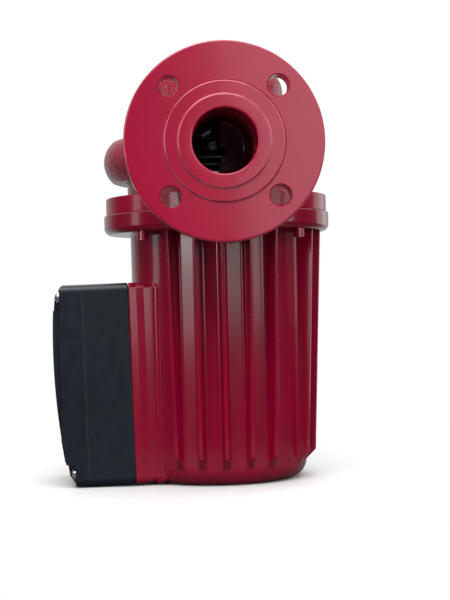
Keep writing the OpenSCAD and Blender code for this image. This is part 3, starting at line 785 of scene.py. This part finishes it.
# ---------------------------------------------------------------- the pump casting
def rough_cast(ob):
    """Sand-cast surface: lumps a few millimetres across, and finer grains on them."""
    for size, depth in ((7 * MM, CAST_GRAIN * 1.6), (2.4 * MM, CAST_GRAIN)):
        texture = bpy.data.textures.new("sand", "CLOUDS")
        texture.noise_scale = size
        texture.noise_depth = 1
        modified(ob, "DISPLACE", texture=texture, texture_coords="LOCAL", strength=depth, mid_level=0.5)
    return ob


def flange_plate(side):
    """The machined end of one pipe flange: stepped face, rim, back and bolt holes, all edges broken."""
    face = FLANGE_LOW.y if side > 0 else FLANGE_HIGH.y
    face_depth, groove_depth = 2 * STEP_H, 2.2 * STEP_H
    outline = [(PIPE_R, 0, 1.3), (SEAT_R, 0, 1.2), (SEAT_R, STEP_H, 0.25), (STEP_R, STEP_H, 0.8),
               (STEP_R, groove_depth, 0.2), (STEP_R + 0.5 * MM, groove_depth, 0.2),
               (STEP_R + 0.8 * MM, face_depth, 0.4), (FLANGE_R, face_depth, 1.3),
               (FLANGE_R, FLANGE_BACK, 1.3), (NECK_R + 4 * MM, FLANGE_BACK, 3),
               (NECK_R, NECK_JOINT, 0), (PIPE_R, NECK_JOINT, 0)]
    ob = turned_solid("flange_plate", softened(outline), along_pipe(0, 0, face, side), 160, hollow=True)
    front, back, c = face_depth, FLANGE_BACK, HOLE_CHAMFER
    drill = [(HOLE_R + c + MM, front - MM), (HOLE_R + c, front), (HOLE_R, front + c), (HOLE_R, back - c),
             (HOLE_R + c, back), (HOLE_R + c + MM, back + MM)]
    for x, z in four_round(HOLE_CIRCLE):
        boolean(ob, turned_solid("drill", drill, along_pipe(x, z, face, side), 48), "DIFFERENCE")
    return ob


def throat_pocket():
    """Rounds off the end of the outlet bore beside the cutwater."""
    arc = np.linspace(0, 0.48 * math.pi, 12)   # stops short of a point
    profile = [(THROAT_R, -2 * MM)] + [(THROAT_R * math.cos(a), THROAT_ROUND * math.sin(a)) for a in arc]
    return turned_solid("pocket", profile, along_pipe(0, 0, THROAT_END))


def clamped_rim(body):
    """Turns the casing's own flange afresh, with its screw holes."""
    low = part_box("housing_gasket")[1].z
    inner, outer, top = RIM_R - 3 * MM, RIM_R + 0.6 * MM, RIM_TOP + 0.3 * MM
    waste = [(inner, low - MM), (outer, low - MM), (outer, top), (inner, top)]
    boolean(body, turned_solid("waste", waste, upright(AXIS), 160, hollow=True), "DIFFERENCE")
    rim = [(RIM_INNER, low, 0), (RIM_R, low, 0.3), (RIM_R, RIM_TOP, 0.9), (RIM_INNER, RIM_TOP, 0)]
    boolean(body, turned_solid("rim", softened(rim), upright(AXIS), 160, hollow=True), "UNION")
    for x, y in four_round(SCREW_CIRCLE):
        hole = cylinder_about("hole", (AXIS.x + x, AXIS.y + y), RIM_HOLE_R, low - MM, RIM_TOP + MM, 32)
        boolean(body, hole, "DIFFERENCE")


def pump_casting():
    """The casing: sand-cast all over, then its pipe flanges and its own flange are machined."""
    body = welded_copy("pump_housing", "pump_casting")
    boolean(body, throat_pocket(), "DIFFERENCE")
    modified(body, "REMESH", mode="VOXEL", voxel_size=CAST_VOXEL)
    relaxed(body, 6)
    rough_cast(body)
    inside = FLANGE_BACK + 0.2 * MM
    past = 100 * MM                        # beyond the casing's sides
    between = block("between", (-past, inside, -past), (past, FLANGE_HIGH.y - inside, past))
    boolean(body, between, "INTERSECT")
    for side in (1, -1):
        boolean(body, flange_plate(side), "UNION")
    clamped_rim(body)
    return finish_piece(without_crumbs(body), cast_red, "casing", "red_casting", "pump_housing")


# ---------------------------------------------------------------- CAD nodes that stay as they are
def dress_nodes():
    """A material for every CAD node, and soft edges on those that show."""
    slots = {s["node"]: s["material_slot"] for s in frame["record"]["subparts"]}
    # the impeller's steel is made near black: painted shade for the unlit inside of the pump
    dark_shaded_steel = turned("impeller_shaded_steel", (0.04, 0.042, 0.046), 0.4)
    for name, ob in frame["nodes"].items():
        ob.data.materials.clear()
        ob.data.materials.append(dark_shaded_steel if name.startswith("impeller") else LOOKS[slots[name]])
        if name not in ("pump_housing", "motor_housing"):
            bevel = ob.modifiers.new("soft_edges", "BEVEL")
            bevel.width = 0.35 * MM
            bevel.segments = 2
            bevel.limit_method = "ANGLE"
            bevel.angle_limit = math.radians(40)


# ---------------------------------------------------------------- camera, lights and stage
CAMERA_PLACE = (-0.0553, -0.8983, -0.1019)
CAMERA_YAW, CAMERA_ROLL = 3.37, 1.35           # degrees
CAMERA_LENS = 84.6
LIT_POINT = Vector((0, AXIS.y * 0.6, -0.1))    # what the panels are aimed at
SOFTBOXES = (  # name, azimuth and elevation in degrees, distance, size, brightness
    ("front_window", 35, 16, 2.5, (3.0, 1.6), 1.95),
    ("left_window", -41, 15, 2.0, (0.7, 0.92), 4.4),
    ("left_sill", -41, 3, 2.0, (0.7, 0.42), 2.2),
    ("left_strip", -92, 8, 2.0, (0.35, 1.0), 1.5),
    ("right_strip", 76, 8, 2.0, (0.3, 1.0), 2.0),
    ("right_wall", 132, 6, 2.0, (1.0, 1.0), 0.75),
    ("high_front", -8, 58, 1.2, (1.0, 0.9), 4.4),
    ("high_back", 170, 55, 2.0, (1.7, 1.3), 2.4),
)
ROOM_DIM, ROOM_WALL, ROOM_CEILING = 0.05, 0.45, 0.7
FLOOR_R = 0.26
FLOOR_DROP = 0.2 * MM                          # keeps it clear of the motor's end
FLOOR_LIT = (0.1, 0.1, 0.1)                    # what the pump gets back from it
FLOOR_SHOWN = ((0.86, 0.86, 0.86), (0.9, 0.9, 0.9))


def make_camera():
    """A long lens a little left of the pipe line, level, rolled slightly clockwise."""
    yaw, roll = math.radians(CAMERA_YAW), math.radians(CAMERA_ROLL)
    forward = Vector((math.sin(yaw), math.cos(yaw), 0))
    right = Vector((math.cos(yaw), -math.sin(yaw), 0))
    up = Vector((0, 0, 1))
    x = right * math.cos(roll) - up * math.sin(roll)
    y = right * math.sin(roll) + up * math.cos(roll)
    data = bpy.data.cameras.new("camera")
    data.lens = CAMERA_LENS
    data.clip_start, data.clip_end = 0.01, 50
    camera = new_object("camera", data)
    camera.matrix_world = Matrix((x, y, -forward)).transposed().to_4x4()
    camera.location = CAMERA_PLACE
    scene.camera = camera


def softbox(name, azimuth, elevation, distance, size, radiance):
    """A soft panel aimed at the pump: azimuth 0 is the camera's side, positive to its right."""
    turn, rise = math.radians(azimuth), math.radians(elevation)
    level = Vector((math.sin(turn), -math.cos(turn), 0)) * math.cos(rise)
    offset = (level + Vector((0, 0, math.sin(rise)))) * distance
    data = bpy.data.lights.new(name, "AREA")
    data.shape = "RECTANGLE"
    data.size, data.size_y = size
    data.energy = radiance * math.pi * size[0] * size[1]
    panel = new_object(name, data)
    panel.location = LIT_POINT + offset
    panel.rotation_euler = (-offset).to_track_quat("-Z", "Y").to_euler()
    panel.visible_camera = False


def make_world():
    """White where the camera looks at it; to the pump, a dim room with a pale wall behind and a ceiling."""
    world = bpy.data.worlds.new("studio")
    world.use_nodes = True
    tree = world.node_tree
    direction = tree.nodes.new("ShaderNodeTexCoord").outputs["Generated"]
    split = tree.nodes.new("ShaderNodeSeparateXYZ")
    tree.links.new(direction, split.inputs[0])

    def span(value, low, high, to_low, to_high):
        node = tree.nodes.new("ShaderNodeMapRange")
        node.interpolation_type = "SMOOTHSTEP"
        tree.links.new(value, node.inputs[0])
        for key, number in zip((1, 2, 3, 4), (low, high, to_low, to_high)):
            node.inputs[key].default_value = number
        return node.outputs[0]

    def joined(operation, a, b):
        node = tree.nodes.new("ShaderNodeMath")
        node.operation = operation
        tree.links.new(a, node.inputs[0])
        tree.links.new(b, node.inputs[1])
        return node.outputs[0]

    wall = span(split.outputs["Y"], 0.55, 0.95, ROOM_DIM, ROOM_WALL)
    ceiling = span(split.outputs["Z"], 0.25, 0.9, 0.0, ROOM_CEILING)
    seen = tree.nodes.new("ShaderNodeLightPath").outputs["Is Camera Ray"]
    strength = joined("MAXIMUM", joined("ADD", wall, ceiling), seen)
    tree.links.new(strength, tree.nodes["Background"].inputs["Strength"])
    tree.nodes["Background"].inputs["Color"].default_value = (1, 1, 1, 1)
    scene.world = world


def make_stage():
    """The room, the floor and the soft light."""
    make_world()
    g = Graph("floor_white", Roughness=0.7)
    seen = g.add("LightPath", "Is Camera Ray")
    g.colour(g.blend(seen, FLOOR_LIT, g.blend(g.noise(3, 2), *FLOOR_SHOWN)))
    mesh = bpy.data.meshes.new("floor")
    bm = bmesh.new()
    bmesh.ops.create_circle(bm, cap_ends=True, segments=128, radius=FLOOR_R)
    bmesh.ops.translate(bm, verts=bm.verts, vec=(AXIS.x, AXIS.y, FLOOR_Z - FLOOR_DROP))
    bm.to_mesh(mesh)
    bm.free()
    mesh.materials.append(g.mat)
    new_object("floor", mesh)
    for panel in SOFTBOXES:
        softbox(*panel)
    scene.view_settings.view_transform = "Standard"


dress_nodes()
motor_casting()
pump_casting()
make_camera()
make_stage()
